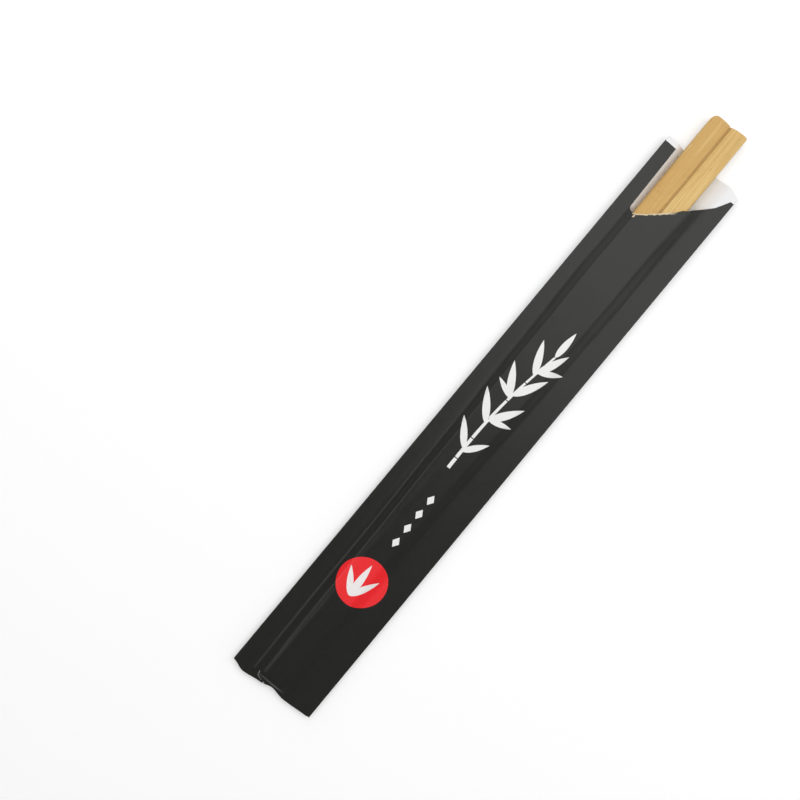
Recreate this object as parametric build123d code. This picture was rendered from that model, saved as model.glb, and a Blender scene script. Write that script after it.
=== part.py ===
from build123d import *
import math
import os

# A pair of joined bamboo chopsticks in a folded paper sleeve, in millimetres.
# The packet lies on its back. +Y runs from the closed end to the mouth, +X across it and +Z up.
# The origin is under the middle of the sticks' length, on the surface that the packet lies on.

# Sticks
stick_length = 210.0
head_width = 5.8
head_thickness = 4.8
tip_width = 3.8
tip_thickness = 3.4
parallel_length = 62.0
crown_height = 0.3
outer_edge_radius = 1.2
inner_edge_radius = 0.5
tip_rounding = 0.9
head_end_bow = 0.2
head_end_slant = 0.5
head_notch = 0.3
left_corner_radius = 1.6
right_corner_radius = 0.6

# Joint between the two sticks
saw_cut_width = 0.5
groove_depth = 0.9
web_length = 48.0
web_rooting = 0.3
saw_run_out = 9.0

# Slanting cut under the head
bevel_length = 20.0
bevel_end_thickness = 2.7

# Paper sleeve
paper_thickness = 0.12
margin_gap = 0.10
sleeve_width = 28.3
mouth_draw_in = 0.8
pair_offset = -1.5
top_clearance = 0.10
rest_clearance = 0.02
left_slope_run = 2.6
right_slope_run = 3.6
shoulder_inset = 1.0
slope_softness = 0.4

# Closed end
land_reach = 0.9
nose_length = 2.0
nose_steps = 5
tip_clearance = 1.2
end_flap_length = 8.0
end_flap_inset = 0.5
seam_overlap = 6.0
end_wave = [(-13.9, -0.2), (-9.8, -1.3), (-3.7, -0.6), (0.1, 0.3), (4.7, -0.4), (13.9, 0.1)]

# Mouth
head_projection = 13.4
strip_drop = 1.7
strip_width = 4.1
slot_depth = 24.2
slot_lean = 0.45
slot_radius = 1.7
tongue_drop = 3.3
tongue_tip_width = 1.5
tongue_sag = 1.95
back_corner_drop = 1.6
back_corner_width = 8.8
back_corner_bow = 0.4
fold_width = 0.3

# Worked out from the sizes above
folded_end = 2 * paper_thickness
pair_floor = folded_end + rest_clearance
tip_station = land_reach + tip_clearance
middle_station = tip_station + stick_length / 2
head_station = tip_station + stick_length
parallel_station = head_station - parallel_length
nose_station = land_reach + nose_length
back_top = head_station - head_projection
strip_top = back_top - strip_drop
tongue_top = back_top - tongue_drop
slot_bottom = strip_top - slot_depth
margin_height = pair_floor + tip_thickness / 2
mouth_width = sleeve_width - mouth_draw_in
pair_top = pair_floor + head_thickness
beyond = 5.0


def along(station, at_tip, at_head):
    """A size that tapers from the tips to the parallel stretch of the sticks."""
    share = (station - tip_station) / (parallel_station - tip_station)
    return at_tip + (at_head - at_tip) * min(1.0, max(0.0, share))


def stick_width(station):
    return along(station, tip_width, head_width)


def stick_thickness(station):
    return along(station, tip_thickness, head_thickness)


def pair_half_width(station):
    return saw_cut_width / 2 + stick_width(station)


def stick_section(station):
    """Section of the right-hand stick: a crowned bar, rounded more outside than at the saw cut."""
    width = stick_width(station)
    thickness = stick_thickness(station)
    inner = saw_cut_width / 2
    outer = inner + width
    low = crown_height
    high = thickness - crown_height
    crown = inner + width / 2
    outline = [
        ThreePointArc((inner, low), (crown, 0), (outer, low)),
        Line((outer, low), (outer, high)),
        ThreePointArc((outer, high), (crown, thickness), (inner, high)),
        Line((inner, high), (inner, low)),
    ]
    face = make_face(outline)
    face = fillet(face.vertices().sort_by(Axis.X)[:2], inner_edge_radius)
    face = fillet(face.vertices().sort_by(Axis.X)[-2:], outer_edge_radius)
    plane = Plane(origin=(0, station, pair_floor), x_dir=(1, 0, 0), z_dir=(0, -1, 0))
    return plane * face


def right_stick():
    """One stick, tapering to its tip and parallel towards its head."""
    taper = loft([stick_section(tip_station), stick_section(parallel_station)], ruled=True)
    head = loft([stick_section(parallel_station), stick_section(head_station)], ruled=True)
    tip_end = taper.faces().sort_by(Axis.Y)[0]
    taper = fillet(tip_end.edges(), tip_rounding)
    return taper + head


def saw_cut_web():
    """Wood left between the sticks at the head, with the curved end of the saw cut."""
    low = pair_floor + groove_depth
    high = pair_top - groove_depth
    lower_end = head_station - web_length
    outline = [
        Line((head_station, low), (head_station, high)),
        Line((head_station, high), (lower_end, high)),
        ThreePointArc(
            (lower_end, high),
            (lower_end + saw_run_out / 3, (low + high) / 2),
            (lower_end + saw_run_out, low),
        ),
        Line((lower_end + saw_run_out, low), (head_station, low)),
    ]
    face = Plane.YZ * make_face(outline)
    return extrude(face, saw_cut_width / 2 + web_rooting, both=True)


def head_outline():
    """Plan of the blank: its head end slants, dips at the saw cut and is rounded most on the left."""
    half = saw_cut_width / 2 + head_width
    left_end = head_station - head_end_slant
    middle = head_station - head_end_slant / 2
    left_middle = (middle + left_end) / 2 + head_end_bow - head_notch / 2
    right_middle = (middle + head_station) / 2 + head_end_bow - head_notch / 2
    low = tip_station - beyond
    outline = [
        Polyline((-half, left_end), (-half, low), (half, low), (half, head_station)),
        ThreePointArc((half, head_station), (half / 2, right_middle), (0, middle - head_notch)),
        ThreePointArc((0, middle - head_notch), (-half / 2, left_middle), (-half, left_end)),
    ]
    face = make_face(outline)
    left_corner = face.vertices().sort_by(Axis.X)[:2].sort_by(Axis.Y)[-1]
    face = fillet(left_corner, left_corner_radius)
    right_corner = face.vertices().sort_by(Axis.X)[-2:].sort_by(Axis.Y)[-1]
    face = fillet(right_corner, right_corner_radius)
    return extrude(face, pair_top + beyond)


def head_bevel():
    """Wedge that the slanting cut takes away under the head."""
    start = head_station - bevel_length
    slope = (head_thickness - bevel_end_thickness) / bevel_length
    rise = slope * (bevel_length + beyond)
    outline = Polyline(
        (start, pair_floor),
        (head_station + beyond, pair_floor + rise),
        (head_station + beyond, pair_floor - beyond),
        (start, pair_floor - beyond),
        (start, pair_floor),
    )
    half = saw_cut_width / 2 + head_width + beyond
    return extrude(Plane.YZ * make_face(outline), half, both=True)


def twin_chopsticks():
    stick = right_stick()
    pair = stick + mirror(stick, about=Plane.YZ) + saw_cut_web()
    pair = pair & head_outline()
    pair = pair - head_bevel()
    return Pos(pair_offset, 0, 0) * pair


def sleeve_half_width(station):
    return (sleeve_width - mouth_draw_in * station / back_top) / 2


def sleeve_section(station, front, back, share):
    """Closed outline across the sleeve, as far outside its free inner space as the layers given."""
    half_width = sleeve_half_width(station)
    half_pair = pair_half_width(station)
    top = pair_floor + stick_thickness(station) + top_clearance + front
    bottom = folded_end - back
    upper_margin = margin_height + margin_gap / 2 + front
    lower_margin = margin_height - margin_gap / 2 - back
    crest = upper_margin + (top - upper_margin) * share
    trough = lower_margin + (bottom - lower_margin) * share
    fold_radius = (upper_margin - lower_margin) / 2
    fold = half_width - paper_thickness - margin_gap / 2
    left_shoulder = pair_offset - half_pair + shoulder_inset
    right_shoulder = pair_offset + half_pair - shoulder_inset
    left_foot = left_shoulder - left_slope_run
    right_foot = right_shoulder + right_slope_run

    def at(x, z):
        return (x, station, z)

    def slope(start_x, start_z, end_x, end_z, layer):
        outward = math.copysign(layer / 2, (start_x + end_x) / 2 - pair_offset)
        first = start_x + outward
        last = end_x + outward
        reach = slope_softness * (last - first)
        return Bezier(
            at(first, start_z),
            at(first + reach, start_z),
            at(last - reach, end_z),
            at(last, end_z),
        )

    left_rise = slope(left_foot, upper_margin, left_shoulder, crest, front)
    right_fall = slope(right_shoulder, crest, right_foot, upper_margin, front)
    right_dip = slope(right_foot, lower_margin, right_shoulder, trough, back)
    left_lift = slope(left_shoulder, trough, left_foot, lower_margin, back)
    fold_middle = upper_margin - fold_radius
    fold_crest = fold + fold_radius
    right_fold = ThreePointArc(at(fold, upper_margin), at(fold_crest, fold_middle), at(fold, lower_margin))
    left_fold = ThreePointArc(at(-fold, lower_margin), at(-fold_crest, fold_middle), at(-fold, upper_margin))
    outline = [
        Line(at(-fold, upper_margin), left_rise @ 0),
        left_rise,
        Line(left_rise @ 1, right_fall @ 0),
        right_fall,
        Line(right_fall @ 1, at(fold, upper_margin)),
        right_fold,
        Line(at(fold, lower_margin), right_dip @ 0),
        right_dip,
        Line(right_dip @ 1, left_lift @ 0),
        left_lift,
        Line(left_lift @ 1, at(-fold, lower_margin)),
        left_fold,
    ]
    return Face(Wire(outline))


def stretch(first, last, front, back, share=1.0):
    """Straight stretch of the sleeve between two stations."""
    ends = [sleeve_section(station, front, back, share) for station in (first, last)]
    return loft(ends, ruled=True)


def nose(front, back):
    """Rounded stretch where the flat end opens out over the tips."""
    start = land_reach - max(front, back)
    sections = []
    for step in range(nose_steps + 1):
        angle = math.radians(90 * step / nose_steps)
        station = nose_station - (nose_station - start) * math.cos(angle)
        sections.append(sleeve_section(station, front, back, math.sin(angle)))
    return loft(sections)


def tube(front, back, last):
    """Nose and straight run, with a change of taper where the sticks become parallel."""
    if last <= parallel_station:
        return nose(front, back) + stretch(nose_station, last, front, back)
    run = stretch(nose_station, parallel_station, front, back)
    run += stretch(parallel_station, last, front, back)
    return nose(front, back) + run


def glued_land(front, back):
    """Flat end where every layer is glued together."""
    start = min(height for _, height in end_wave) - beyond
    return stretch(start, land_reach - max(front, back), front, back, 0.0)


def end_flap():
    """Lower end of the sheet, folded over onto the back and glued, a little narrower than it."""
    layer = glued_land(0.0, folded_end) + tube(0.0, folded_end, end_flap_length)
    width = sleeve_width - 2 * end_flap_inset
    depth = margin_height + beyond
    keep = Box(width, 4 * end_flap_length, depth, align=(Align.CENTER, Align.CENTER, Align.MAX))
    return layer & (Pos(0, 0, margin_height) * keep)


def seam():
    """Free edge of the sheet, lapped and glued along the middle of the back."""
    length = back_top + beyond - end_flap_length
    strip = Box(seam_overlap, length, paper_thickness, align=(Align.CENTER, Align.MIN, Align.MIN))
    return Pos(pair_offset, end_flap_length, 0) * strip


def closed_end_trim():
    """Region beyond the wavy lower edge of the sheet."""
    side = sleeve_width / 2 + beyond
    low = -2 * beyond
    first = end_wave[0]
    last = end_wave[-1]
    outline = [
        Spline(*end_wave),
        Polyline(last, (side, last[1]), (side, low), (-side, low), (-side, first[1]), first),
    ]
    return Pos(0, 0, -beyond) * extrude(make_face(outline), pair_top + 2 * beyond)


def mouth_cut():
    """Region that the front of the sheet leaves open between the folds: a slot and a slanting tongue."""
    side = mouth_width / 2 - fold_width
    strip_inner = strip_width - mouth_width / 2
    slot_inner = strip_inner + slot_lean
    tongue_tip = mouth_width / 2 - tongue_tip_width
    middle_x = (slot_inner + tongue_tip) / 2
    middle_y = (slot_bottom + tongue_top) / 2 - tongue_sag
    outline = [
        Line((strip_inner, strip_top), (slot_inner, slot_bottom)),
        ThreePointArc((slot_inner, slot_bottom), (middle_x, middle_y), (tongue_tip, tongue_top)),
        Polyline(
            (tongue_tip, tongue_top),
            (side, tongue_top),
            (side, back_top + 2 * beyond),
            (-side, back_top + 2 * beyond),
            (-side, strip_top),
            (strip_inner, strip_top),
        ),
    ]
    face = make_face(outline)
    corner = face.vertices().sort_by(Axis.Y)[0]
    face = fillet(corner, slot_radius)
    return Pos(0, 0, margin_height) * extrude(face, pair_top + beyond)


def back_trim():
    """Region beyond the upper edge of the back, which drops away at its right corner."""
    side = mouth_width / 2
    start = side - back_corner_width
    last = side - fold_width
    corner = back_top - back_corner_drop
    outline = [
        Line((-side - beyond, back_top), (start, back_top)),
        ThreePointArc((start, back_top), ((start + last) / 2, back_top - back_corner_bow), (last, corner)),
        Polyline(
            (last, corner),
            (side + beyond, corner),
            (side + beyond, back_top + 3 * beyond),
            (-side - beyond, back_top + 3 * beyond),
            (-side - beyond, back_top),
        ),
    ]
    return Pos(0, 0, -beyond) * extrude(make_face(outline), pair_top + 2 * beyond)


def paper_sleeve():
    last = back_top + beyond
    sheet = glued_land(paper_thickness, paper_thickness) + tube(paper_thickness, paper_thickness, last)
    sheet += end_flap()
    sheet += seam()
    sheet -= tube(0.0, 0.0, last + beyond)
    sheet -= closed_end_trim()
    sheet -= mouth_cut()
    sheet -= back_trim()
    return sheet


os.makedirs("parts", exist_ok=True)
pieces = {"paper_sleeve": paper_sleeve(), "twin_chopsticks": twin_chopsticks()}
for node, piece in pieces.items():
    export_step(Pos(0, -middle_station, 0) * piece, f"parts/{node}.step")
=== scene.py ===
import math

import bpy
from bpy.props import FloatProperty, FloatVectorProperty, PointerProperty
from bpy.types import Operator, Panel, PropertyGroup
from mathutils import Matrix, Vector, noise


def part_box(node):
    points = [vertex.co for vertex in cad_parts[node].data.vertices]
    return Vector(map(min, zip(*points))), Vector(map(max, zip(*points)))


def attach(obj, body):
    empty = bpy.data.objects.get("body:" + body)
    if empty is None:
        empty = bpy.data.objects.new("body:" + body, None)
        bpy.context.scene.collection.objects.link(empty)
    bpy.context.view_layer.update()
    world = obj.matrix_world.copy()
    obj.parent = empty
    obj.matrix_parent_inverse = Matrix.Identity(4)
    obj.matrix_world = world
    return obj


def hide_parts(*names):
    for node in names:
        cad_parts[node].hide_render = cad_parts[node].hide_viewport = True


bl_info = {
    "name": "Sleeved Bamboo Chopsticks",
    "version": (1, 0, 0),
    "blender": (4, 5, 0),
    "location": "3D View > Sidebar > Chopsticks",
    "description": "Folds a printed paper sleeve round a joined pair of bamboo chopsticks",
    "category": "Object",
}

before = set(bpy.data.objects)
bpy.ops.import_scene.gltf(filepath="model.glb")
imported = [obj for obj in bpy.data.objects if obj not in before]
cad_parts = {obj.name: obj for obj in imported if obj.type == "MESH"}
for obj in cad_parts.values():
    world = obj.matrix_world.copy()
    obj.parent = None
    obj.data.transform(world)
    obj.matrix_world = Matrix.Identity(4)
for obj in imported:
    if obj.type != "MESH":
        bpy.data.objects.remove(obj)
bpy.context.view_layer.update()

SLEEVE_LOW, SLEEVE_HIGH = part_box("paper_sleeve")
PAIR_LOW, PAIR_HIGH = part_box("twin_chopsticks")
PAIR_X = (PAIR_LOW.x + PAIR_HIGH.x) / 2
MM = 0.001
SHEET_NAME = "folded_paper_sleeve"
OUTSIDE, INSIDE, RIM = range(3)

# Map of the unfolded sheet
MAP_NAME = "OFBake"
MAP_ROW = ("run", 0.5)
MAP_SIZE = 215 * MM
MAP_TURN = 1 * MM
MAP_HEM = 0.8 * MM
MAP_INSIDE = 0.36


def clipped(value):
    return min(1.0, max(0.0, value))


def between(value, start, end):
    """Share of the way from start to end, from 0 to 1."""
    return clipped((value - start) / (end - start))


def eased(share):
    return share * share * (3 - 2 * share)


def blend(first, second, share):
    return first + (second - first) * share


def ridge(distance, width):
    """Bell curve, 1 on the line of a ridge or valley and gone two widths away."""
    return math.exp(-((distance / width) ** 2))


def wave(y, place, length):
    """Slow irregular wave along the packet, between -1 and 1, a different one for each place."""
    return noise.noise(Vector((place, y / length, 2 * place)))


def ripple(x, y, across, along, place):
    """Irregular wave over the sheet, between -1 and 1, with one length across and one along it."""
    return noise.noise(Vector((x / across, y / along, place)))


def length_setting(name, description, default):
    return FloatProperty(
        name=name, description=description, default=default, unit="LENGTH", precision=5
    )


def colour_setting(name, description, default):
    return FloatVectorProperty(
        name=name, description=description, default=default, subtype="COLOR", size=3, min=0.0, max=1.0
    )


class SleeveSizes(PropertyGroup):
    """Sizes of the folded sheet of paper."""

    width: length_setting("Width", "Width at the closed end", SLEEVE_HIGH.x - SLEEVE_LOW.x)
    draw_in: length_setting("Draw-in", "Width lost at the mouth, where the sheet bulges most", 0.0008)
    paper: length_setting("Paper", "Thickness of the paper", 0.00012)
    gap: length_setting("Margin gap", "Space between front and back beside the sticks", 0.0001)
    margin: length_setting("Margin height", "Height of the closed margins over the table", 0.00196)
    left_run: length_setting("Left slope", "Run of the slope down to the left margin", 0.0036)
    right_run: length_setting("Right slope", "Run of the slope down to the right margin", 0.0042)
    spread: length_setting("Spread", "How much longer the right slope runs at the mouth", 0.0022)
    shoulder: length_setting("Shoulder", "How far in from the sticks' sides the slopes start", 0.001)
    clearance: length_setting("Clearance", "Space between the sticks' tops and the paper", 0.0001)
    lap: length_setting("Lap", "Width of the glued lap along the back", 0.006)
    flap: length_setting("Flap", "Length of the end that is folded over onto the back", 0.008)
    flap_inset: length_setting("Flap inset", "How much narrower the folded end is on each side", 0.0005)
    nose: length_setting("Nose", "Length over which the flat end opens over the tips", 0.002)
    tip_clearance: length_setting("Tip clearance", "Space between the glued end and the tips", 0.0012)
    land: length_setting("Glued land", "Length of the glued end past the sheet's lower edge", 0.0009)
    tips_width: length_setting("Tips' width", "Width of the pair at its tips", 0.0081)
    tips_height: length_setting("Tips' height", "Thickness of the sticks at their tips", 0.0034)
    parallel: length_setting("Parallel length", "Length of the sticks' untapered heads", 0.062)


class ReliefSizes(PropertyGroup):
    """Ridges, dents and curls of the handled sheet."""

    wander: length_setting("Wander", "How far the closed margins rise and fall", 0.00028)
    left_curl: length_setting("Left curl", "How far the left margin curls up at the mouth", 0.00045)
    right_curl: length_setting("Right curl", "How far the right margin curls up at the mouth", 0.0006)
    hang: length_setting("Hang", "How much higher the margins hang beside the heads", 0.00055)
    groove: length_setting("Groove", "Depth of the dent over the gap between the sticks", 0.00009)
    crown: length_setting("Crown", "How far the front falls off towards the sticks' sides", 0.00016)
    first_ridge: length_setting("First ridge", "Height of the ridge over the left tip", 0.00024)
    second_ridge: length_setting("Second ridge", "Height of the ridge beside the first", 0.00012)
    fall: length_setting("Fall", "How far the front sinks over the right tip", 0.0004)
    puff: length_setting("Puff", "Height of the puffed left slope at mid-length", 0.00016)
    broad: length_setting("Broad waves", "Height of the broad waves in the front", 0.00007)
    small: length_setting("Small waves", "Height of the small waves in the front", 0.00003)
    bulge: length_setting("Bulge", "How far the left slope's top bulges outward", 0.0003)
    stray: length_setting("Stray", "How far the right slope's top strays", 0.00045)
    foot_stray: length_setting("Foot stray", "How far the slopes' feet stray", 0.0004)


class MouthSizes(PropertyGroup):
    """Sizes of the cut at the sleeve's mouth."""

    strip_drop: length_setting("Strip drop", "How far the strip ends short of the back", 0.0017)
    strip_width: length_setting("Strip width", "Width of the strip left of the slot", 0.0041)
    slot_depth: length_setting("Slot depth", "Depth of the slot from the strip's end", 0.0242)
    slot_lean: length_setting("Slot lean", "How far the slot's side leans towards the sticks", 0.00045)
    slot_radius: length_setting("Slot radius", "Radius of the slot's lower corner", 0.0017)
    tongue_drop: length_setting("Tongue drop", "How far the tongue ends short of the back", 0.0033)
    tongue_tip: length_setting("Tongue tip", "Width of the tongue's square tip", 0.0015)
    tongue_sag: length_setting("Tongue sag", "How far the slanting edge bows down", 0.00195)
    corner_drop: length_setting("Corner drop", "How far the back's right corner falls away", 0.0016)
    corner_width: length_setting("Corner width", "Width over which the back's corner falls away", 0.0088)
    ragged: length_setting("Ragged edge", "How far the cut edge strays where it has torn", 0.0004)
    lift: length_setting("Lip lift", "How far the cut edge lifts off the sticks", 0.00008)


class PaperColours(PropertyGroup):
    """Colours of the sleeve and its print."""

    black: colour_setting("Outside", "Black of the printed outside", (0.0058, 0.006, 0.0042))
    white: colour_setting("Inside", "White of the unprinted inside", (0.83, 0.83, 0.84))
    ink: colour_setting("White print", "Colour of the leaves and diamonds", (0.86, 0.86, 0.85))
    red: colour_setting("Red print", "Colour of the sun disc", (0.90, 0.010, 0.016))
    # The cream is partly the torn paper's core and partly a painted highlight along the cut edge.
    core: colour_setting("Torn core", "Cream of the fibres along the torn edge", (0.74, 0.60, 0.38))


class BambooColours(PropertyGroup):
    """Colours of the planed bamboo."""

    pale: colour_setting("Pale", "Pale ground between the fibres", (0.69, 0.465, 0.165))
    warm: colour_setting("Warm", "Warm tone of the broad streaks", (0.57, 0.335, 0.096))
    # The brown also paints shade into the groove between the sticks.
    brown: colour_setting("Brown", "Brown of the fibre ends and of the groove", (0.32, 0.165, 0.045))
    fibre: colour_setting("Bright fibre", "Colour of fibres that lie open", (0.82, 0.64, 0.31))


class StageSizes(PropertyGroup):
    """Floor, lights and camera."""

    floor: colour_setting("Floor", "Colour of the table", (0.9, 0.9, 0.9))
    lens: FloatProperty(name="Lens", description="Focal length in millimetres", default=63.0)
    turn: FloatProperty(
        name="Turn",
        description="Turn of the packet from upright in the picture",
        default=math.radians(39.66),
        subtype="ANGLE",
    )
    camera_place: FloatVectorProperty(
        name="Camera",
        description="Place of the camera",
        default=(-0.0408, -0.0135, 0.4111),
        subtype="XYZ",
        unit="LENGTH",
    )
    camera_aim: FloatVectorProperty(
        name="Aim",
        description="Point on the table that the camera looks at",
        default=(-0.0248, -0.0178, 0.0),
        unit="LENGTH",
    )


# The folded sheet

# Where the lower edge of the sheet wanders, as distance across and along from a straight end.
END_WAVE = (
    (-13.9 * MM, -0.2 * MM),
    (-9.8 * MM, -1.3 * MM),
    (-3.7 * MM, -0.6 * MM),
    (0.1 * MM, 0.3 * MM),
    (4.7 * MM, -0.4 * MM),
    (13.9 * MM, 0.1 * MM),
)

# Stretches of the sheet's section, from its lapped edge round to the other, with their columns.
COLUMNS = (
    ("back_left", 5),
    ("back_left_slope", 10),
    ("back_left_margin", 5),
    ("left_fold", 6),
    ("strip", 9),
    ("front_left_slope", 22),
    ("crest", 28),
    ("front_right_slope", 18),
    ("front_right_margin", 12),
    ("right_fold", 6),
    ("back_right_margin", 5),
    ("back_right_slope", 10),
    ("back_right", 3),
    ("lap", 8),
)

# Stretches along the sheet, from the free edge of the folded end to the mouth, with their rows.
ROWS = (("flap", 10), ("turn", 6), ("land", 3), ("nose", 9), ("run", 150), ("mouth", 30), ("lip", 24))
FRONT = ("strip", "front_left_slope", "crest", "front_right_slope", "front_right_margin")
HIDDEN_ROWS = ("flap", "turn")
TORN_COLUMNS = ("front_left_slope", "crest")
TORN_ROWS = 2

# How far down the packet the mouth's level rows, its slot and its opening take effect.
MOUTH_REACH = 9 * MM
SLOT_SIDE_REACH = 25 * MM
OPENING_REACH = 30 * MM

# The slopes between the margins and the crest: flare of each, and place and length of their waves.
LEFT_SLOPE_FLARE = 1.3
RIGHT_SLOPE_FLARE = 0.95
STRIP_FLARE = 1.5
BULGE_WAVE = (3.1, 26 * MM)
BULGE_SMALL_WAVE = (5.7, 7 * MM)
BULGE_SMALL_HEIGHT = 0.1 * MM
STRAY_WAVE = (9.4, 30 * MM)
STRAY_SMALL_WAVE = (1.9, 8 * MM)
STRAY_SMALL_HEIGHT = 0.12 * MM
FOOT_WAVE = (7.3, 33 * MM)

# The closed margins: how far in they are level, where their wave starts, and the wave itself.
MARGIN_INSET = 2 * MM
MARGIN_START = 30 * MM
MARGIN_PLACE = 5 * MM
MARGIN_RIPPLE = (1 * MM, 42 * MM, 4.0)

# Share of the lap's width over which it steps down under the other edge.
LAP_STEP = 0.12
SMOOTH_ANGLE = math.radians(50)

# Relief in the front: stretches along the packet, lines across it, widths and waves.
LOWER_SPAN = (-60 * MM, 20 * MM)
GROOVE_SPAN = (-80 * MM, 10 * MM)
GROOVE_WIDTH = 1.3 * MM
PUFF_START = (-95 * MM, -40 * MM)
PUFF_STOP = (20 * MM, 70 * MM)
PUFF_X = -9.3 * MM
PUFF_WIDTH = 0.9 * MM
FALL_SPAN = (1.7 * MM, 5.0 * MM)
LIP_SPAN = (-6 * MM, 8 * MM)
CROWN_POWER = 2.5
BROAD_RIPPLE = (9 * MM, 22 * MM, 8.0)
SMALL_RIPPLE = (3 * MM, 7 * MM, 1.5)
MARGIN_RIPPLE_SHARE = 0.5
RIDGE_SPAN = (-105 * MM, -20 * MM)
RIDGE_STRAY = 0.3 * MM
RIDGES = (
    # lines at its two ends, width, wave of its line, wave of its height, mean and swing of its height
    ((-3.9 * MM, -3.6 * MM), 0.95 * MM, (2.6, 21 * MM), (6.1, 15 * MM), 0.65, 0.6),
    ((-6.9 * MM, -6.6 * MM), 0.8 * MM, (4.2, 17 * MM), (8.8, 13 * MM), 0.5, 0.7),
)

# The torn edge turns smooth between these two distances from the tongue's tip.
TORN_FADE = (9 * MM, 6 * MM)
TORN_RIPPLE = (1.2 * MM, 1.0, 6.0)


def stops(stretches):
    """Every line of a grid as the name of its stretch and its share along it."""
    lines = []
    for name, count in stretches:
        for step in range(count):
            lines.append((name, step / count))
    lines.append((stretches[-1][0], 1.0))
    return lines


def pressed_ridge(x, y, ends, width, line_wave, height_wave, mean, swing):
    """A ridge that a stick's edge has pressed into the front, straying and fading on its way."""
    line = blend(*ends, between(y, *RIDGE_SPAN)) + RIDGE_STRAY * wave(y, *line_wave)
    return ridge(x - line, width) * (mean + swing * wave(y, *height_wave))


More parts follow.
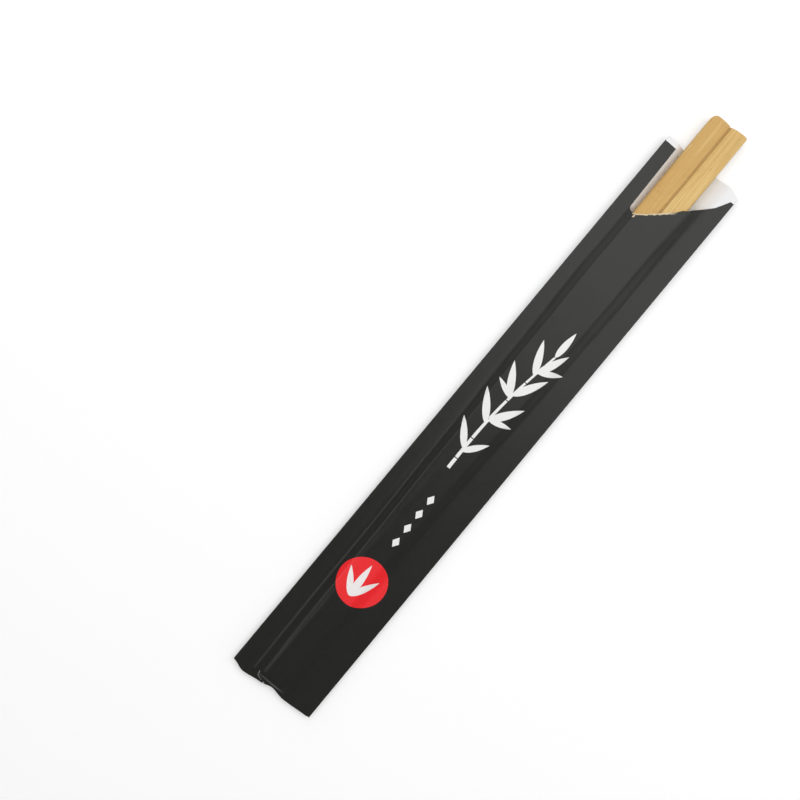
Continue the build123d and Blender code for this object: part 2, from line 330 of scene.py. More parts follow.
class FoldedSheet:
    """Works out where each point of the flat sheet lies once it is folded round the sticks."""

    def __init__(self, sleeve, mouth, relief):
        self.s = sleeve
        self.m = mouth
        self.r = relief
        self.land_y = PAIR_LOW.y - sleeve.tip_clearance
        self.base_y = self.land_y - sleeve.land
        self.nose_y = self.land_y + sleeve.nose
        self.flap_y = self.base_y + sleeve.flap
        self.back_top = SLEEVE_HIGH.y
        self.strip_top = self.back_top - mouth.strip_drop
        self.tongue_top = self.back_top - mouth.tongue_drop
        self.slot_bottom = self.strip_top - mouth.slot_depth
        self.mouth_y = self.slot_bottom - MOUTH_REACH
        self.half_mouth = (sleeve.width - sleeve.draw_in) / 2
        self.slot_x = mouth.strip_width - self.half_mouth + mouth.slot_lean
        self.tip_x = self.half_mouth - mouth.tongue_tip
        self.corner_x = self.slot_x + mouth.slot_radius
        slope = math.atan((self.slant(self.corner_x + 1 * MM) - self.slant(self.corner_x)) / (1 * MM))
        self.corner_end = self.corner_x + mouth.slot_radius * math.sin(slope)
        self.corner_y = self.slant(self.corner_end) + mouth.slot_radius * math.cos(slope)
        self.front_mid = sleeve.margin + (sleeve.gap + sleeve.paper) / 2
        self.back_mid = sleeve.margin - (sleeve.gap + sleeve.paper) / 2
        self.fold_radius = (sleeve.gap + sleeve.paper) / 2
        self.trough = 1.5 * sleeve.paper

    def along_pair(self, y, at_tips, at_head):
        return blend(at_tips, at_head, between(y, PAIR_LOW.y, PAIR_HIGH.y - self.s.parallel))

    def half_width(self, y):
        share = (y - self.base_y) / (self.back_top - self.base_y)
        return (self.s.width - self.s.draw_in * share) / 2

    def half_pair(self, y):
        return self.along_pair(y, self.s.tips_width, PAIR_HIGH.x - PAIR_LOW.x) / 2

    def crest(self, y):
        height = self.along_pair(y, self.s.tips_height, PAIR_HIGH.z - PAIR_LOW.z)
        return PAIR_LOW.z + height + self.s.clearance + self.s.paper / 2

    def openness(self, y):
        """None on the glued land, all past the nose."""
        away = 1 - between(y, self.land_y, self.nose_y)
        return math.sqrt(1 - away * away)

    def opening(self, y):
        """Share by which the sheet has sprung open towards its mouth."""
        return eased(between(y, self.mouth_y - OPENING_REACH, self.back_top))

    def slope_lines(self, y):
        """Where the slopes start and end, with a slow wander along the packet."""
        half = self.half_pair(y) - self.s.shoulder
        bulge = self.r.bulge * (1 + wave(y, *BULGE_WAVE))
        bulge += BULGE_SMALL_HEIGHT * wave(y, *BULGE_SMALL_WAVE)
        stray = self.r.stray * wave(y, *STRAY_WAVE)
        stray += STRAY_SMALL_HEIGHT * wave(y, *STRAY_SMALL_WAVE)
        left = PAIR_X - half - max(0.0, bulge)
        right = PAIR_X + half + stray
        foot_stray = self.r.foot_stray * wave(y, *FOOT_WAVE)
        right_foot = right + self.s.right_run + self.s.spread * self.opening(y) - foot_stray
        return left - self.s.left_run + foot_stray, left, right, right_foot

    def rise(self, x, y):
        """Share of the way up from the margins, across the section."""
        left_foot, left, right, right_foot = self.slope_lines(y)
        left_share = between(x, left_foot, left) ** LEFT_SLOPE_FLARE
        right_share = between(x, right_foot, right) ** RIGHT_SLOPE_FLARE
        return min(eased(left_share), eased(right_share))

    def margin_wave(self, x, y):
        """Slow rise and fall of the closed margins, the same for front and back."""
        side = eased(between(abs(x - PAIR_X), self.half_pair(y), self.half_width(y) - MARGIN_INSET))
        wander = self.r.wander * ripple(math.copysign(MARGIN_PLACE, x), y, *MARGIN_RIPPLE)
        curl = (self.r.right_curl if x > PAIR_X else self.r.left_curl) * self.opening(y)
        hang = self.along_pair(y, 0.0, self.r.hang)
        return side * (wander * between(y, self.land_y, self.land_y + MARGIN_START) + curl) + hang

    def relief(self, x, y):
        """Ridges, dents and puckers that handling leaves in the front."""
        lower = 1 - eased(between(y, *LOWER_SPAN))
        middle = eased(between(y, *PUFF_START)) * (1 - eased(between(y, *PUFF_STOP)))
        aside = min(1.0, abs(x - PAIR_X) / self.half_pair(y))
        groove = -self.r.groove * ridge(x - PAIR_X, GROOVE_WIDTH) * eased(between(y, *GROOVE_SPAN))
        crown = -self.r.crown * aside**CROWN_POWER
        first, second = (pressed_ridge(x, y, *shape) for shape in RIDGES)
        press = (self.r.first_ridge * first - self.r.fall * eased(between(x, *FALL_SPAN))) * lower
        puff = self.r.puff * ridge(x - PUFF_X, PUFF_WIDTH) * middle
        aside_press = self.r.second_ridge * second * lower
        broad = self.r.broad * ripple(x, y, *BROAD_RIPPLE)
        small = self.r.small * ripple(x, y, *SMALL_RIPPLE)
        lift = self.m.lift * eased(between(y - self.slot_bottom, *LIP_SPAN))
        top = self.rise(x, y)
        ripples = (broad + small) * blend(MARGIN_RIPPLE_SHARE, 1.0, top)
        return (groove + crown + press + lift) * top + puff + aside_press + ripples

    def front_height(self, x, y):
        top = self.rise(x, y) * self.openness(y)
        height = blend(self.front_mid + self.margin_wave(x, y), self.crest(y), top)
        return height + self.relief(x, y) * self.openness(y)

    def back_height(self, x, y):
        low = self.rise(x, y) * self.openness(y)
        return blend(self.back_mid + self.margin_wave(x, y), self.trough, low)

    def end_line(self, x):
        """The wavy lower edge, eased from each named point to the next."""
        for (first_x, first_y), (last_x, last_y) in zip(END_WAVE, END_WAVE[1:]):
            if x <= last_x:
                return self.base_y + blend(first_y, last_y, eased(between(x, first_x, last_x)))
        return self.base_y + END_WAVE[-1][1]

    def slant(self, x):
        """The tongue's slanting edge, which bows down between its two ends."""
        share = (x - self.slot_x) / (self.tip_x - self.slot_x)
        sag = 4 * self.m.tongue_sag * share * (1 - share)
        return blend(self.slot_bottom, self.tongue_top, share) - sag

    def front_top(self, x):
        """The cut edge right of the strip: the slot's round corner, then the tongue's torn slant."""
        if x <= self.slot_x:
            return self.corner_y
        if x < self.corner_end:
            across = x - self.corner_x
            return self.corner_y - math.sqrt(max(0.0, self.m.slot_radius**2 - across**2))
        if x >= self.tip_x:
            return self.tongue_top
        near_slot = 1 - between(x, self.tip_x - TORN_FADE[0], self.tip_x - TORN_FADE[1])
        return self.slant(x) + self.m.ragged * ripple(x, 0.0, *TORN_RIPPLE) * near_slot

    def slot_side(self, y):
        """The strip's inner edge, which runs on down the sleeve as the foot of its left slope."""
        lean = self.m.slot_lean * between(y, self.slot_bottom, self.strip_top)
        foot = self.slope_lines(y)[0]
        near = eased(between(y, self.mouth_y - SLOT_SIDE_REACH, self.mouth_y))
        return blend(foot, self.slot_x - lean, near)

    def back_end(self, x):
        """The upper edge of the back, which falls away at its right corner."""
        start = self.half_mouth - self.m.corner_width
        return self.back_top - self.m.corner_drop * between(x, start, self.half_mouth) ** 2

    def across(self, name, share, y):
        """Distance across the packet of a column at one place along it."""
        left_foot, left, right, right_foot = self.slope_lines(y)
        fold = self.half_width(y) - self.s.paper / 2 - self.fold_radius
        lap_end = PAIR_X + self.s.lap / 2
        lap_start = PAIR_X - self.s.lap / 2
        ends = {
            "back_left": (lap_end, left),
            "back_left_slope": (left, left_foot),
            "back_left_margin": (left_foot, -fold),
            "strip": (-fold, self.slot_side(y)),
            "front_left_slope": (self.slot_side(y), left),
            "crest": (left, right),
            "front_right_slope": (right, right_foot),
            "front_right_margin": (right_foot, fold),
            "back_right_margin": (fold, right_foot),
            "back_right_slope": (right_foot, right),
            "back_right": (right, lap_end + self.s.paper),
            "lap": (lap_end + self.s.paper, lap_start),
            "left_fold": (-fold, -fold),
            "right_fold": (fold, fold),
        }
        first, last = ends[name]
        return blend(first, last, share**STRIP_FLARE if name == "front_left_slope" else share)

    def reach(self, name, share, x):
        """How far a column runs towards the mouth, past the level of the tongue's edge."""
        if name == "strip" or (name == "front_left_slope" and share == 0):
            return self.strip_top
        if name in FRONT or (name == "right_fold" and share < 0.5):
            return None
        if name == "left_fold":
            return blend(self.back_end(x), self.strip_top, eased(share))
        return self.back_end(x)

    def place(self, column, row):
        """Where the crossing of a column and a row lies, or None where the sheet has been cut away."""
        name, share = column
        stretch, part = row
        front = name in FRONT
        if stretch in HIDDEN_ROWS and not front:
            return None
        start_x = self.across(name, share, self.land_y)
        edge = self.end_line(start_x)
        turn = (self.front_mid - self.back_mid + self.s.paper) / 2
        if stretch in HIDDEN_ROWS:
            limit = self.s.width / 2 - self.s.flap_inset
            x = min(limit, max(-limit, start_x))
            if stretch == "flap":
                y = blend(self.flap_y, edge + turn, part)
                return Vector((x, y, self.back_height(x, y) - self.s.paper))
            angle = math.pi * part
            out = turn * math.sin(angle)
            up = turn * (1 - math.cos(angle))
            x = blend(x, start_x, part)
            return Vector((x, edge + turn - out, self.back_mid - self.s.paper + up))
        start = edge + turn
        if stretch == "land":
            y = blend(start, self.land_y, part)
        elif stretch == "nose":
            y = self.nose_y - self.s.nose * math.cos(math.pi / 2 * part)
        elif stretch == "run":
            y = blend(self.nose_y, self.mouth_y, part)
        else:
            level = self.front_top(self.across(name, share, self.slot_bottom))
            y = blend(self.mouth_y, level, part)
            if stretch == "lip":
                end = self.reach(name, share, self.across(name, share, self.slot_bottom))
                if end is None and part > 0:
                    return None
                y = blend(level, level if end is None else end, part)
        x = self.across(name, share, y)
        if name == "lap" and y < self.flap_y:
            return None
        if name in ("left_fold", "right_fold"):
            angle = math.pi * share
            out = self.fold_radius * math.sin(angle)
            up = self.fold_radius * math.cos(angle)
            outward = math.copysign(out, x)
            middle = self.s.margin + self.margin_wave(x, y)
            return Vector((x + outward, y, middle + math.copysign(1.0, x) * up))
        if front:
            return Vector((x, y, self.front_height(x, y)))
        z = self.back_height(x, y)
        if name == "lap":
            z -= self.s.paper * eased(between(share, 0.0, LAP_STEP))
        return Vector((x, y, z))


def deselect_all():
    bpy.ops.object.select_all(action="DESELECT")


def apply_modifier(piece, kind, **settings):
    """Adds a modifier to the active piece and applies it."""
    modifier = piece.modifiers.new(kind.title(), kind)
    for name, value in settings.items():
        setattr(modifier, name, value)
    bpy.ops.object.modifier_apply(modifier=modifier.name)


def flat_sheet(name, columns, rows):
    """A flat grid with one line for each column and row."""
    deselect_all()
    bpy.ops.mesh.primitive_grid_add(x_subdivisions=columns - 1, y_subdivisions=rows - 1, size=1.0)
    piece = bpy.context.active_object
    piece.name = name
    return piece


def torn_share(stretch, part):
    """1 along the cut, and gone a few rows below it."""
    if stretch == "mouth":
        return clipped(1 - (1 - part) * dict(ROWS)["mouth"] / TORN_ROWS)
    return float(stretch == "lip" and part == 0)


def fold_sheet(piece, sheet):
    """Lays every crossing of the flat grid where the folded sheet has it and cuts away the rest."""
    columns = stops(COLUMNS)
    rows = stops(ROWS)
    spare = []
    torn = piece.data.attributes.new("torn", "FLOAT", "POINT")
    for index, vertex in enumerate(piece.data.vertices):
        row, column = divmod(index, len(columns))
        place = sheet.place(columns[column], rows[row])
        torn.data[index].value = torn_share(*rows[row]) if columns[column][0] in TORN_COLUMNS else 0.0
        if place is None:
            spare.append(index)
        else:
            vertex.co = place
    lay_out_map(piece, sheet, columns, rows)
    bpy.ops.object.mode_set(mode="EDIT")
    bpy.ops.mesh.select_all(action="DESELECT")
    bpy.ops.object.mode_set(mode="OBJECT")
    for index in spare:
        piece.data.vertices[index].select = True
    bpy.ops.object.mode_set(mode="EDIT")
    bpy.ops.mesh.delete(type="VERT")
    bpy.ops.object.mode_set(mode="OBJECT")


def lay_out_map(piece, sheet, columns, rows):
    """Maps the sheet as it lies before it is folded, so that no part of it covers another."""
    flat = piece.data.uv_layers[0]
    flat.name = MAP_NAME
    across = [0.0]
    for before, after in zip(columns, columns[1:]):
        across.append(across[-1] + (sheet.place(after, MAP_ROW) - sheet.place(before, MAP_ROW)).length)
    for loop in piece.data.loops:
        row, column = divmod(loop.vertex_index, len(columns))
        hidden = rows[row][0] in HIDDEN_ROWS
        run = piece.data.vertices[loop.vertex_index].co.y - sheet.base_y
        if hidden:
            run = MAP_TURN * (rows[row][1] - 1) if rows[row][0] == "turn" else -run - MAP_TURN
        flat.data[loop.index].uv = (
            (across[column] + MAP_HEM) / MAP_SIZE,
            (run + sheet.s.flap + MAP_TURN + 2 * MAP_HEM) / MAP_SIZE,
        )


def part_map(piece):
    """Moves the inside's map beside the outside's and gives the cut edges a hem of their own."""
    mesh = piece.data
    flat = mesh.uv_layers[MAP_NAME].data
    seat = {}
    for face in mesh.polygons:
        if face.material_index == OUTSIDE:
            corners = [flat[loop].uv for loop in face.loop_indices]
            middle = sum(corners, Vector((0, 0))) / len(corners)
            for edge in face.edge_keys:
                seat[edge] = middle
    for face in mesh.polygons:
        loops = list(face.loop_indices)
        if face.material_index == INSIDE:
            for loop in loops:
                flat[loop].uv.x += MAP_INSIDE
        elif face.material_index == RIM:
            shared = [edge for edge in face.edge_keys if edge in seat][0]
            near = [loop for loop in loops if mesh.loops[loop].vertex_index in shared]
            far = [loop for loop in loops if loop not in near]
            middle = (flat[near[0]].uv + flat[near[1]].uv) / 2
            away = (middle - seat[shared]).normalized() * (MAP_HEM / MAP_SIZE)
            for loop in far:
                flat[loop].uv += away


class CHOPSTICKS_OT_sleeve(Operator):
    """Folds one sheet of paper round the sticks and cuts its mouth"""

    bl_idname = "chopsticks.sleeve"
    bl_label = "Fold the paper sleeve"

    def execute(self, context):
        scene = context.scene
        sheet = FoldedSheet(scene.sleeve_sizes, scene.mouth_sizes, scene.relief_sizes)
        piece = flat_sheet(SHEET_NAME, len(stops(COLUMNS)), len(stops(ROWS)))
        fold_sheet(piece, sheet)
        colours = scene.paper_colours
        for material in (printed_outside(colours), white_inside(colours), cut_edge(colours)):
            piece.data.materials.append(material)
        apply_modifier(
            piece,
            "SOLIDIFY",
            thickness=scene.sleeve_sizes.paper,
            offset=0.0,
            use_even_offset=False,
            material_offset=1,
            material_offset_rim=2,
        )
        part_map(piece)
        bpy.ops.object.shade_smooth_by_angle(angle=SMOOTH_ANGLE)
        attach(piece, "root")
        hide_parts("paper_sleeve")
        return {"FINISHED"}


class CHOPSTICKS_OT_sticks(Operator):
    """Gives the joined pair of sticks its planed bamboo"""

    bl_idname = "chopsticks.sticks"
    bl_label = "Finish the bamboo sticks"

    def execute(self, context):
        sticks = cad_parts["twin_chopsticks"]
        material = planed_bamboo(context.scene.bamboo_colours)
        for slot in sticks.material_slots:
            slot.material = material
        return {"FINISHED"}


# Materials


class Shade:
    """One output of a material's nodes. Sums and products of shades add Math nodes."""

    def __init__(self, recipe, socket):
        self.recipe = recipe
        self.socket = socket

    def math(self, operation, *others):
        sockets = dict(enumerate((self, *others)))
        return self.recipe.out(self.recipe.node("ShaderNodeMath", {"operation": operation}, sockets))

    def reversed_math(self, operation, other):
        node = self.recipe.node("ShaderNodeMath", {"operation": operation}, {0: other, 1: self})
        return self.recipe.out(node)

    def __add__(self, other):
        return self.math("ADD", other)

    def __radd__(self, other):
        return self.reversed_math("ADD", other)

    def __sub__(self, other):
        return self.math("SUBTRACT", other)

    def __rsub__(self, other):
        return self.reversed_math("SUBTRACT", other)

    def __mul__(self, other):
        return self.math("MULTIPLY", other)

    def __rmul__(self, other):
        return self.reversed_math("MULTIPLY", other)

    def __truediv__(self, other):
        return self.math("DIVIDE", other)

    def __pow__(self, other):
        return self.math("POWER", other)

    def __abs__(self):
        return self.math("ABSOLUTE")

    def most(self, other):
        return self.math("MAXIMUM", other)

    def least(self, other):
        return self.math("MINIMUM", other)

    def clipped(self):
        return self.most(0.0).least(1.0)


# Places of the colour sockets on a Mix node.
MIX_FIRST = 6
MIX_SECOND = 7
MIX_RESULT = 2


class Recipe:
    """Builds one material's nodes."""

    def __init__(self, name):
        self.material = bpy.data.materials.new(name)
        self.material.use_nodes = True
        self.tree = self.material.node_tree
        self.tree.nodes.clear()

    def node(self, kind, settings, sockets):
        """Adds a node, sets what it is told and fills its sockets with values or links."""
        node = self.tree.nodes.new(kind)
        for name, value in settings.items():
            setattr(node, name, value)
        for name, value in sockets.items():
            if isinstance(value, Shade):
                self.tree.links.new(value.socket, node.inputs[name])
            else:
                node.inputs[name].default_value = value
        return node

    def out(self, node, name=0):
        return Shade(self, node.outputs[name])

    def millimetres(self):
        """The point on the piece, in millimetres, as a vector and as its three parts."""
        place = self.out(self.node("ShaderNodeTexCoord", {}, {}), "Object")
        scaled = self.node("ShaderNodeVectorMath", {"operation": "SCALE"}, {0: place, "Scale": 1 / MM})
        vector = self.out(scaled)
        parts = self.node("ShaderNodeSeparateXYZ", {}, {0: vector})
        return vector, self.out(parts, "X"), self.out(parts, "Y"), self.out(parts, "Z")

    def stretched(self, vector, scale):
        node = self.node("ShaderNodeVectorMath", {"operation": "MULTIPLY"}, {0: vector, 1: scale})
        return self.out(node)

    def noise(self, vector, scale, detail, roughness=0.5):
        sockets = {"Vector": vector, "Scale": scale, "Detail": detail, "Roughness": roughness}
        return self.out(self.node("ShaderNodeTexNoise", {}, sockets), "Fac")

    def mix(self, first, second, share):
        """One colour changed into another by a share."""
        sockets = {"Factor": share, MIX_FIRST: self.colour(first), MIX_SECOND: self.colour(second)}
        return self.out(self.node("ShaderNodeMix", {"data_type": "RGBA"}, sockets), MIX_RESULT)

    def colour(self, value):
        return value if isinstance(value, Shade) else (*value, 1.0)

    def bump(self, height, distance, strength):
        sockets = {"Strength": strength, "Distance": distance, "Height": height}
        return self.out(self.node("ShaderNodeBump", {}, sockets))

    def finish(self, sockets):
        """Ends the material in one surface shader."""
        surface = self.node("ShaderNodeBsdfPrincipled", {}, sockets)
        self.node("ShaderNodeOutputMaterial", {}, {"Surface": self.out(surface)})
        return self.material


def soft_step(value, width):
    """0 below zero and 1 above it, with an edge of the given width."""
    return (value / width + 0.5).clipped()


# Print, in millimetres across and along the packet from its middle. A leaf on the stem is a share of
# the way up it, a heading in degrees, a length and a width. One on the sun has no share.
LEAF_EDGE = 0.06
LEAF_FOOT_POWER = 0.62
LEAF_TIP_POWER = 0.95
LEAF_FULLNESS = 0.97
STEM_FOOT = (-1.6, -24.0)
STEM_TOP = (1.9, 20.5)
STEM_BOW = 1.4
STEM_WIDTH = 0.95
STEM_FOOT_SHARE = 1.15
STEM_TAPER = 0.55
STEM_END = 0.001
STEM_JOINTS = 6.0
JOINT_HALF = 0.02
LEAVES = (
    (0.16, 128, 10.0, 3.3),
    (0.14, 50, 8.5, 3.0),
    (0.40, 54, 11.5, 3.8),
    (0.38, 126, 11.0, 3.6),
    (0.41, 16, 7.5, 2.7),
    (0.63, 60, 11.5, 3.8),
    (0.60, 121, 11.5, 3.7),
    (0.61, 156, 7.0, 2.6),
    (0.84, 66, 11.0, 3.6),
    (0.82, 114, 11.0, 3.6),
    (0.85, 30, 8.0, 2.8),
    (1.0, 88, 9.5, 3.2),
)
SUN_PLACE = (0.6, -66.0)
SUN_RADIUS = 7.7
SUN_LEAVES = ((60, 9.6, 3.2), (92, 11.2, 3.5), (125, 9.2, 3.1))
SUN_LEAF_FOOT = (0.0, -71.2)
DIAMOND_PLACES = ((0.6, -50.5), (0.6, -45.2), (0.6, -39.9), (0.6, -34.6))
DIAMOND_HALF = (1.15, 1.75)


def stem_place(share):
    """A point on the printed stem, from its foot to its top."""
    x = blend(STEM_FOOT[0], STEM_TOP[0], share) - STEM_BOW * math.sin(math.pi * share)
    return x, blend(STEM_FOOT[1], STEM_TOP[1], share)


def leaf_mask(x, y, foot, heading, length, width):
    """One pointed leaf: full near its foot and drawn out to its tip."""
    cosine = math.cos(heading)
    sine = math.sin(heading)
    right = x - foot[0]
    up = y - foot[1]
    along = (right * cosine + up * sine) / length
    aside = up * cosine - right * sine
    inside = along.clipped()
    half = (inside**LEAF_FOOT_POWER) * ((1.0 - inside) ** LEAF_TIP_POWER) * (width * LEAF_FULLNESS)
    return soft_step(half - abs(aside) - LEAF_EDGE, LEAF_EDGE)


def stem_mask(x, y):
    """A bowed stem of bamboo with gaps at its joints."""
    along = ((y - STEM_FOOT[1]) / (STEM_TOP[1] - STEM_FOOT[1])).clipped()
    straight = along * (STEM_TOP[0] - STEM_FOOT[0]) + STEM_FOOT[0]
    middle = straight - (along * math.pi).math("SINE") * STEM_BOW
    half = STEM_WIDTH * (STEM_FOOT_SHARE - STEM_TAPER * along) / 2
    body = soft_step(half - abs(x - middle), LEAF_EDGE)
    within = soft_step((along - STEM_END).least(1 - STEM_END - along), 2 * STEM_END)
    joint = soft_step(abs((along * STEM_JOINTS).math("FRACT") - 0.5) - JOINT_HALF, JOINT_HALF / 2)
    return body * within * joint


def diamond_mask(x, y, place):
    reach = abs((x - place[0]) / DIAMOND_HALF[0]) + abs((y - place[1]) / DIAMOND_HALF[1])
    return soft_step(1.0 - reach, LEAF_EDGE)


def white_print(x, y):
    ink = stem_mask(x, y)
    for share, heading, length, width in LEAVES:
        ink = ink.most(leaf_mask(x, y, stem_place(share), math.radians(heading), length, width))
    for heading, length, width in SUN_LEAVES:
        ink = ink.most(leaf_mask(x, y, SUN_LEAF_FOOT, math.radians(heading), length, width))
    for place in DIAMOND_PLACES:
        ink = ink.most(diamond_mask(x, y, place))
    return ink


def red_print(x, y):
    away = ((x - SUN_PLACE[0]) ** 2.0 + (y - SUN_PLACE[1]) ** 2.0).math("SQRT")
    return soft_step(SUN_RADIUS - away, LEAF_EDGE)


def printed_outside(colours):
    """Black paper with a satin varnish, printed in white and red on the front."""
    recipe = Recipe("printed_black_paper")
    vector, x, y, _ = recipe.millimetres()
    normal = recipe.out(recipe.node("ShaderNodeNewGeometry", {}, {}), "Normal")
    facing = recipe.out(recipe.node("ShaderNodeSeparateXYZ", {}, {0: normal}), "Z")
    front = soft_step(facing - 0.1, 0.1)
    coverage = 0.90 + 0.10 * recipe.noise(vector, 3.2, 3.0)
    ink = white_print(x, y) * front * coverage
    sun = red_print(x, y) * front * coverage
    mottle = recipe.noise(vector, 0.6, 3.0, 0.6)
    fibre = recipe.noise(recipe.stretched(vector, (1.0, 0.55, 1.0)), 6.0, 3.0, 0.65)
    darker = tuple(0.82 * part for part in colours.black)
    lighter = tuple(1.25 * part for part in colours.black)
    ground = recipe.mix(darker, lighter, mottle)
    colour = recipe.mix(ground, tuple(colours.red), sun)
    colour = recipe.mix(colour, tuple(colours.ink), ink)
    scuff = crease_mask(recipe, vector, x, y) * front
    rim_core_and_highlight = torn_core_highlight_mask(recipe, vector, x, y)
    colour = recipe.mix(colour, tuple(colours.white), scuff)
    # Cream along the torn edge: partly the paper's core, partly a painted highlight along the edge.
    colour = recipe.mix(colour, tuple(colours.core), rim_core_and_highlight * front)
    rough = 0.24 + 0.10 * mottle + 0.12 * ink + 0.05 * fibre
    height = fibre + 0.35 * mottle + 0.4 * ink
    bump = recipe.bump(height, 0.012 * MM, 0.55)
    return recipe.finish({"Base Color": colour, "Roughness": rough, "Normal": bump})


# White cracks in the print where a tip has pressed through at the closed end, in millimetres.
CRACKS = (
    ((-5.95, -105.0), (-5.5, -106.5)),
    ((-5.5, -106.5), (-3.9, -107.0)),
    ((-2.9, -107.4), (-2.0, -107.7)),
)
CRACK_WIDTHS = (0.09, 0.06, 0.32)
CRACK_EDGE = 0.12
CRACK_STRENGTH = 0.42

# Torn edge: the stretch across the packet that shows the core and a painted highlight, and a splinter
# lifted from it.
TORN_LEFT = -7.6
TORN_RIGHT = 1.5
CORE_HIGHLIGHT_STRENGTH = 0.9
SPLINTER = ((-6.75, 66.8), (-6.95, 66.35))
SPLINTER_HALF = 0.2


def line_distance(x, y, start, end):
    """Distance from a straight stroke."""
    run = (end[0] - start[0], end[1] - start[1])
    square = run[0] ** 2 + run[1] ** 2
    share = (((x - start[0]) * run[0] + (y - start[1]) * run[1]) / square).clipped()
    right = x - start[0] - share * run[0]
    up = y - start[1] - share * run[1]
    return (right * right + up * up).math("SQRT")


def crease_mask(recipe, vector, x, y):
    """White cracks in the print, uneven in width."""
    ragged = recipe.noise(vector, 2.6, 2.0)
    mask = None
    for (start, end), width in zip(CRACKS, CRACK_WIDTHS):
        stroke = soft_step(width * (0.3 + ragged) - line_distance(x, y, start, end), CRACK_EDGE)
        mask = stroke if mask is None else mask.most(stroke)
    return mask * CRACK_STRENGTH


def torn_core_highlight_mask(recipe, vector, x, y):
    """Core that shows in a ragged line along the tongue's cut edge, painted lighter there as a highlight
    too, with one splinter lifted from it.
    """
    torn = recipe.out(recipe.node("ShaderNodeAttribute", {"attribute_name": "torn"}, {}), "Fac")
    ragged = recipe.noise(vector, 1.1, 3.0, 0.6)
    line = soft_step(torn - 1.0 + 1.1 * ragged, 0.3)
    line = line * soft_step(TORN_RIGHT - x, 2.0) * soft_step(x - TORN_LEFT, 0.3)
    splinter = soft_step(SPLINTER_HALF - line_distance(x, y, *SPLINTER), 0.14)
    return line.most(splinter) * CORE_HIGHLIGHT_STRENGTH


def white_inside(colours):
    """Bare white inside of the paper, with a faint tooth."""
    recipe = Recipe("white_paper_inside")
    vector = recipe.millimetres()[0]
    cloud = recipe.noise(vector, 0.25, 3.0)
    tooth = recipe.noise(vector, 4.5, 4.0, 0.65)
    shade = tuple(0.95 * part for part in colours.white)
    colour = recipe.mix(shade, tuple(colours.white), cloud)
    bump = recipe.bump(tooth, 0.015 * MM, 0.5)
    return recipe.finish({"Base Color": colour, "Roughness": 0.7 + 0.1 * tooth, "Normal": bump})


def cut_edge(colours):
    """White core that shows where the paper is cut."""
    recipe = Recipe("cut_paper_edge")
    vector = recipe.millimetres()[0]
    ragged = recipe.noise(vector, 5.0, 2.0)
    grey = tuple(0.55 * part for part in colours.white)
    colour = recipe.mix(grey, tuple(colours.white), ragged)
    return recipe.finish({"Base Color": colour, "Roughness": 0.85})


# Grain of the bamboo, from broad streaks to specks: scale across, along and through the sticks, then
# detail and roughness of the noise.
GRAIN = (
    ((0.62, 0.018, 0.5), 3.0, 0.6),
    ((3.6, 0.045, 3.0), 4.0, 0.6),
    ((9.0, 0.22, 9.0), 3.0, 0.6),
    ((5.0, 0.75, 5.0), 2.0, 0.5),
)
WARM_SHARE = 0.9
LINE_SHARE = 0.6
DASH_SHARE = 0.45
BRIGHT_SHARE = 0.6
# Painted shade in the groove: its share, its half width in millimetres and the height below which it
# falls.
GROOVE_SHADE_SHARE = 0.4
GROOVE_HALF = 0.3
GROOVE_TOP = 4.6
PORE_SCALE = 2.6
PORE_RADIUS = 0.30


def planed_bamboo(colours):
    """Bare planed bamboo: long fibres, short dark fibre ends, and brown painted shade down in the saw
    groove.
    """
    recipe = Recipe("planed_bamboo")
    vector, x, _, z = recipe.millimetres()
    broad, streak, fibre, speck = (
        recipe.noise(recipe.stretched(vector, scale), 1.0, detail, roughness)
        for scale, detail, roughness in GRAIN
    )
    left_stick = soft_step(PAIR_X / MM - x, 0.6)
    warmth = (soft_step(broad - 0.5, 0.3) + 0.55 * left_stick - 0.2).clipped()
    colour = recipe.mix(tuple(colours.pale), tuple(colours.warm), WARM_SHARE * warmth)
    lines = soft_step(streak - 0.54, 0.16)
    colour = recipe.mix(colour, tuple(colours.warm), LINE_SHARE * lines)
    dashes = soft_step(speck - 0.66, 0.06) * soft_step(streak - 0.46, 0.1)
    colour = recipe.mix(colour, tuple(colours.brown), DASH_SHARE * dashes)
    bright = soft_step(0.40 - streak, 0.06) * soft_step(0.5 - broad, 0.2)
    colour = recipe.mix(colour, tuple(colours.fibre), BRIGHT_SHARE * bright)
    # Painted shade: the groove between the sticks is darkened brown below its top.
    groove = soft_step(GROOVE_HALF - abs(x - PAIR_X / MM), 0.3)
    depth = soft_step(GROOVE_TOP - z, 0.5)
    colour = recipe.mix(colour, tuple(colours.brown), GROOVE_SHADE_SHARE * groove * depth)
    end_facing = recipe.out(recipe.node("ShaderNodeNewGeometry", {}, {}), "Normal")
    end_parts = recipe.node("ShaderNodeSeparateXYZ", {}, {0: end_facing})
    end = soft_step(abs(recipe.out(end_parts, "Y")) - 0.75, 0.1)
    sockets = {"Vector": vector, "Scale": PORE_SCALE}
    pores = recipe.node("ShaderNodeTexVoronoi", {"feature": "F1"}, sockets)
    bundle = soft_step(PORE_RADIUS - recipe.out(pores, "Distance"), 0.12)
    colour = recipe.mix(colour, tuple(colours.brown), end * (0.12 + 0.5 * bundle))
    rough = 0.46 + 0.14 * fibre + 0.08 * lines
    height = fibre + 0.8 * streak - 0.7 * dashes
    bump = recipe.bump(height, 0.05 * MM, 0.6)
    return recipe.finish({"Base Color": colour, "Roughness": rough, "Normal": bump})


TABLE_GLOW = 1.5
GLOW_SHARE = 0.2


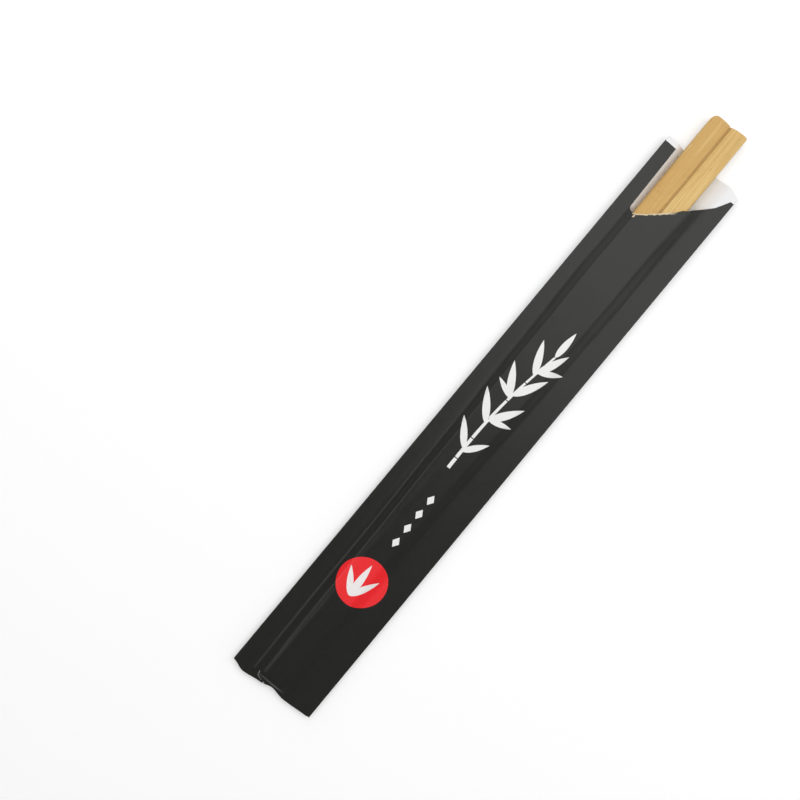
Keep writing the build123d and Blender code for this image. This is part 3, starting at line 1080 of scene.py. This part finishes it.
def white_table(colour):
    """Pale table that stays white around the packet and still takes its shadow."""
    recipe = Recipe("white_table")
    path = recipe.node("ShaderNodeLightPath", {}, {})
    seen = recipe.out(path, "Is Camera Ray").most(recipe.out(path, "Is Glossy Ray"))
    seen = seen.most(recipe.out(path, "Is Transmission Ray"))
    diffuse = recipe.out(recipe.node("ShaderNodeBsdfDiffuse", {}, {"Color": (*colour, 1.0)}))
    glow = recipe.out(recipe.node("ShaderNodeEmission", {}, {"Strength": TABLE_GLOW}))
    sockets = {0: seen * GLOW_SHARE, 1: diffuse, 2: glow}
    both = recipe.out(recipe.node("ShaderNodeMixShader", {}, sockets))
    recipe.node("ShaderNodeOutputMaterial", {}, {"Surface": both})
    return recipe.material


# Stage

FLOOR_SIZE = 6.0
SKY_STRENGTH = 0.3
LAMPS = (
    # name, place, aim, size, brightness of its face, whether the paper mirrors it
    ("window", (0.0, 0.38, 0.62), (0.0, 0.38, 0.0), (1.5, 0.7), 1.3, True),
    ("side", (-0.35, -0.16, 0.60), (0.0, -0.06, 0.0), (0.25, 0.25), 1.4, True),
    ("fill", (0.0, 0.0, 0.9), (0.0, 0.0, 0.0), (1.2, 1.2), 0.7, False),
    ("left card", (-0.9, 0.45, 0.25), (0.0, 0.1, 0.0), (0.8, 0.5), 0.65, True),
    ("right card", (0.9, 0.45, 0.25), (0.0, 0.1, 0.0), (0.8, 0.5), 0.8, True),
)


def look_along(place, aim):
    """Turn of a lamp that faces a point."""
    return (Vector(aim) - Vector(place)).to_track_quat("-Z", "Y").to_matrix().to_4x4()


class CHOPSTICKS_OT_stage(Operator):
    """Sets the table, the lamps and the camera"""

    bl_idname = "chopsticks.stage"
    bl_label = "Set the stage"

    def execute(self, context):
        sizes = context.scene.stage_sizes
        self.table(sizes)
        self.sky(context.scene)
        for lamp in LAMPS:
            self.lamp(*lamp)
        self.camera(context.scene, sizes)
        context.scene.view_settings.view_transform = "Standard"
        return {"FINISHED"}

    def table(self, sizes):
        deselect_all()
        bpy.ops.mesh.primitive_plane_add(size=FLOOR_SIZE)
        table = bpy.context.active_object
        table.name = "table"
        table.data.materials.append(white_table(tuple(sizes.floor)))

    def sky(self, scene):
        world = bpy.data.worlds.new("studio")
        world.use_nodes = True
        background = world.node_tree.nodes["Background"]
        background.inputs["Color"].default_value = (1.0, 1.0, 1.0, 1.0)
        background.inputs["Strength"].default_value = SKY_STRENGTH
        scene.world = world

    def lamp(self, name, place, aim, size, brightness, mirrored):
        bpy.ops.object.light_add(type="AREA", location=place)
        lamp = bpy.context.active_object
        lamp.name = name
        lamp.data.shape = "RECTANGLE"
        lamp.data.size, lamp.data.size_y = size
        lamp.data.energy = brightness * math.pi * size[0] * size[1]
        lamp.visible_glossy = mirrored
        lamp.matrix_world = Matrix.Translation(place) @ look_along(place, aim)

    def camera(self, scene, sizes):
        """The camera looks down on the table with the packet turned in the picture."""
        place = Vector(sizes.camera_place)
        ahead = (Vector(sizes.camera_aim) - place).normalized()
        picture_up = Vector((-math.sin(sizes.turn), math.cos(sizes.turn), 0.0))
        right = ahead.cross(picture_up).normalized()
        up = right.cross(ahead)
        turn = Matrix((right, up, -ahead)).transposed().to_4x4()
        bpy.ops.object.camera_add()
        camera = bpy.context.active_object
        camera.name = "camera"
        camera.data.lens = sizes.lens
        camera.data.clip_start = 0.01
        camera.matrix_world = Matrix.Translation(place) @ turn
        scene.camera = camera


class CHOPSTICKS_PT_panel(Panel):
    """Lists the pieces and their sizes in the sidebar"""

    bl_label = "Chopsticks"
    bl_idname = "CHOPSTICKS_PT_panel"
    bl_space_type = "VIEW_3D"
    bl_region_type = "UI"
    bl_category = "Chopsticks"

    def draw(self, context):
        for title, operator, settings in SECTIONS:
            box = self.layout.box()
            box.label(text=title)
            for name in settings:
                group = getattr(context.scene, name)
                for prop in group.__annotations__:
                    box.prop(group, prop)
            box.operator(operator)


SECTIONS = (
    ("Sleeve", "chopsticks.sleeve", ("sleeve_sizes", "relief_sizes", "mouth_sizes", "paper_colours")),
    ("Sticks", "chopsticks.sticks", ("bamboo_colours",)),
    ("Stage", "chopsticks.stage", ("stage_sizes",)),
)
SETTINGS = {
    "sleeve_sizes": SleeveSizes,
    "relief_sizes": ReliefSizes,
    "mouth_sizes": MouthSizes,
    "paper_colours": PaperColours,
    "bamboo_colours": BambooColours,
    "stage_sizes": StageSizes,
}
OPERATORS = (CHOPSTICKS_OT_sleeve, CHOPSTICKS_OT_sticks, CHOPSTICKS_OT_stage)
CLASSES = (*SETTINGS.values(), *OPERATORS, CHOPSTICKS_PT_panel)


def register():
    for cls in CLASSES:
        bpy.utils.register_class(cls)
    for name, group in SETTINGS.items():
        setattr(bpy.types.Scene, name, PointerProperty(type=group))


def unregister():
    for name in SETTINGS:
        delattr(bpy.types.Scene, name)
    for cls in reversed(CLASSES):
        bpy.utils.unregister_class(cls)


def main():
    register()
    bpy.ops.chopsticks.sticks()
    bpy.ops.chopsticks.sleeve()
    bpy.ops.chopsticks.stage()


if __name__ == "__main__":
    main()
